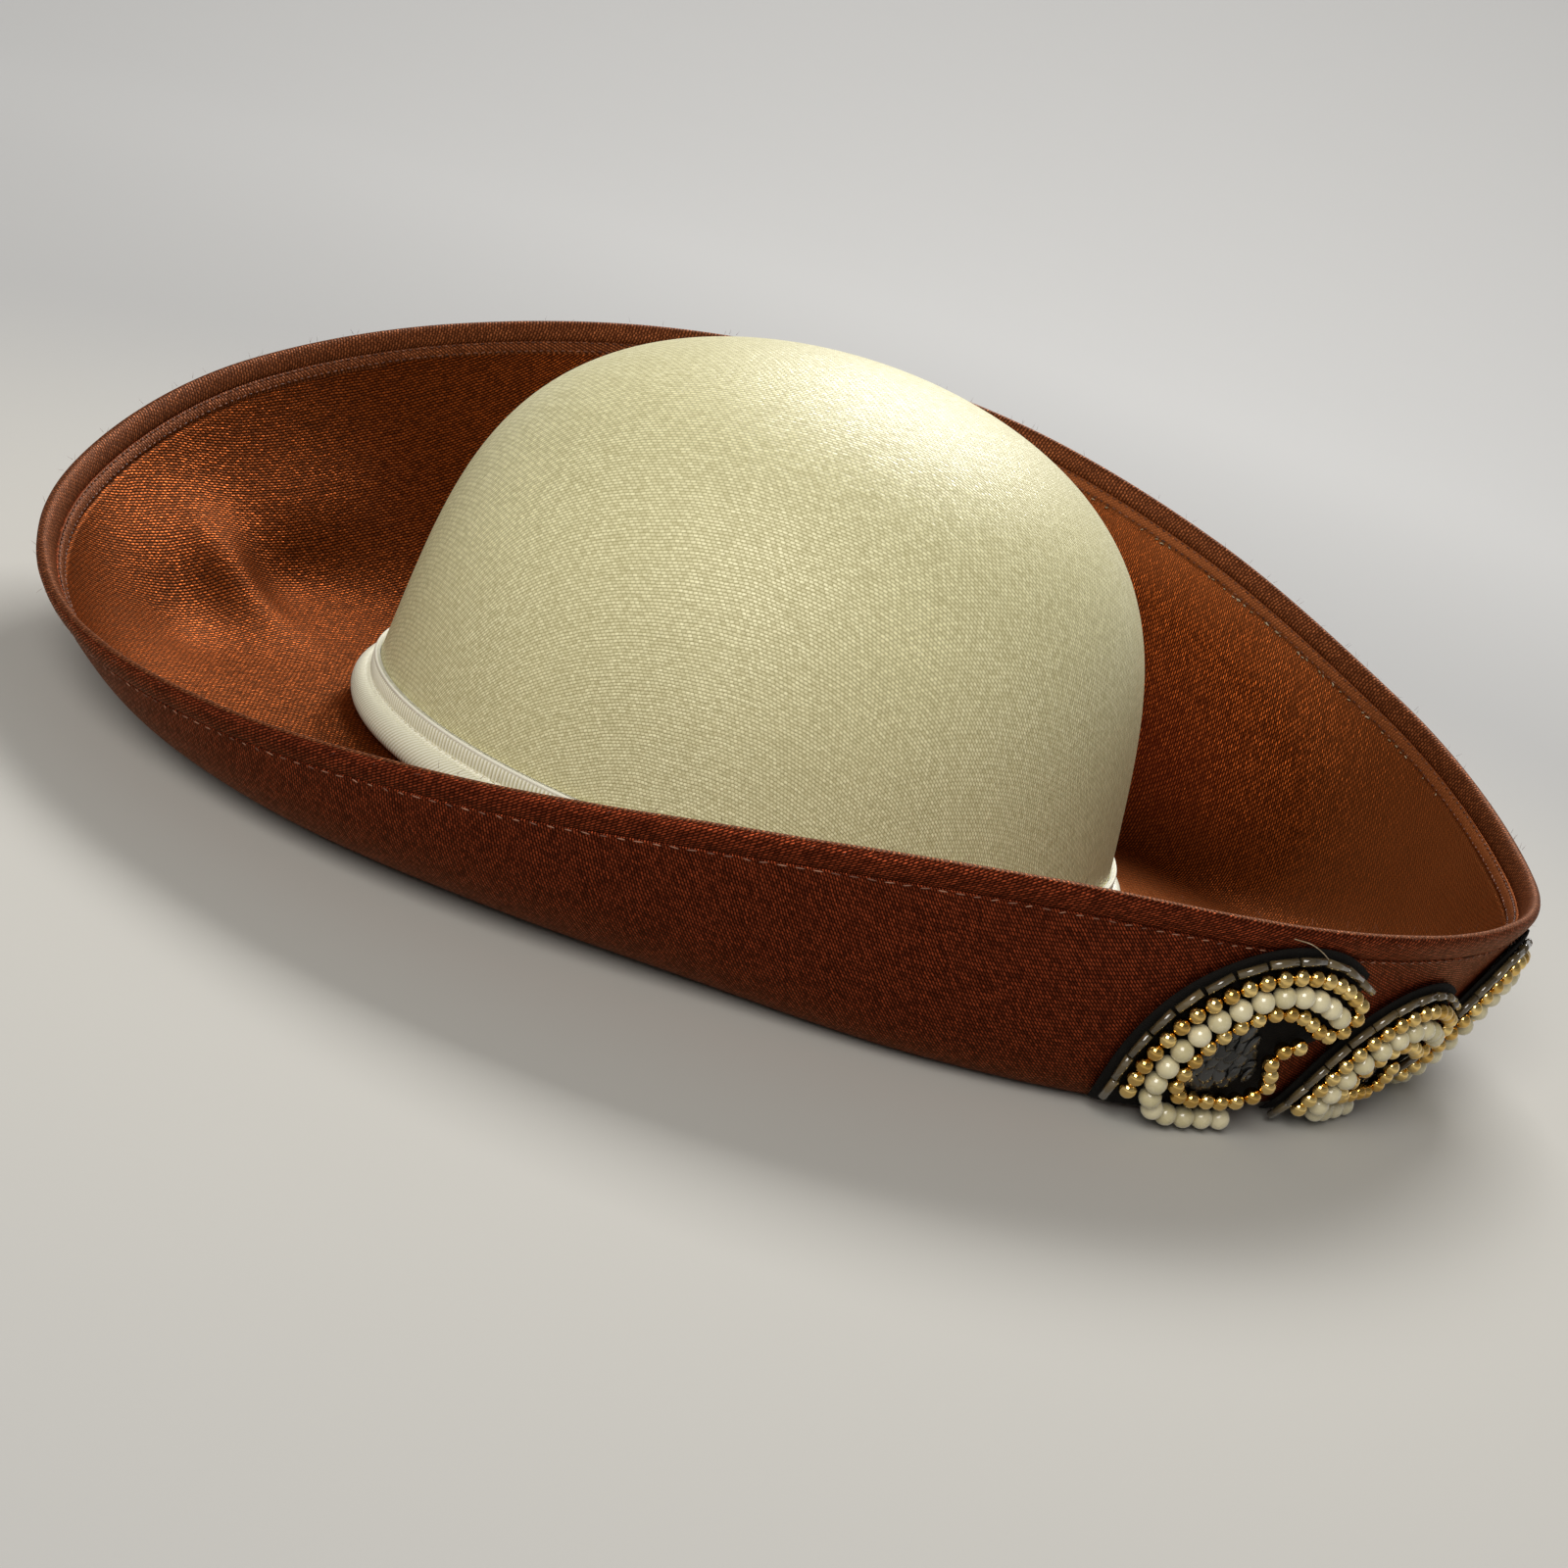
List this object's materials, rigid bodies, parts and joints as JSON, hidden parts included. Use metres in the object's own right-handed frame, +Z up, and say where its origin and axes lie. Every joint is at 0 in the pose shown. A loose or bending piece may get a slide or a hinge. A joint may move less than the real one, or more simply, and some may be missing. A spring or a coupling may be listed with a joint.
{
  "type": "church hat",
  "caption": "Dress hat with a smooth satin dome crown, corded band, wide brown brim turned up all round and a beaded scroll on the outside of the brim.",
  "frame": {"origin": "middle of the hat's length and width, at the level of the flat strip under the brim that it rests on", "axes": "+Z up through the crown, -Y towards the front of the hat, +X towards the wearer's left, where the brim is swept highest"},
  "size_m": [0.3016, 0.3872, 0.1224],
  "materials": {
    "ivory_satin": "woven satin with a soft sheen",
    "brown_satin": "woven satin with a soft sheen",
    "black_felt": "matt felt",
    "smoky_bugle": "smoky glass beads, glossy",
    "gold_bead": "metallised gold, polished",
    "cream_pearl": "pearl lustre",
    "black_sequin": "glossy black"
  },
  "bodies": {
    "root": {"crown": "ivory_satin", "crown_band": "ivory_satin", "brim": "brown_satin", "edge_binding": "brown_satin", "scroll_backing_1": "black_felt", "scroll_backing_2": "black_felt", "scroll_backing_3": "black_felt", "bugle_row_1": "smoky_bugle", "bugle_row_2": "smoky_bugle", "bugle_row_3": "smoky_bugle", "gold_row_1": "gold_bead", "gold_row_2": "gold_bead", "gold_row_3": "gold_bead", "pearl_row_1": "cream_pearl", "pearl_row_2": "cream_pearl", "pearl_row_3": "cream_pearl", "sequin_field_1": "black_sequin", "sequin_field_2": "black_sequin", "sequin_field_3": "black_sequin"}
  },
  "joints": []
}
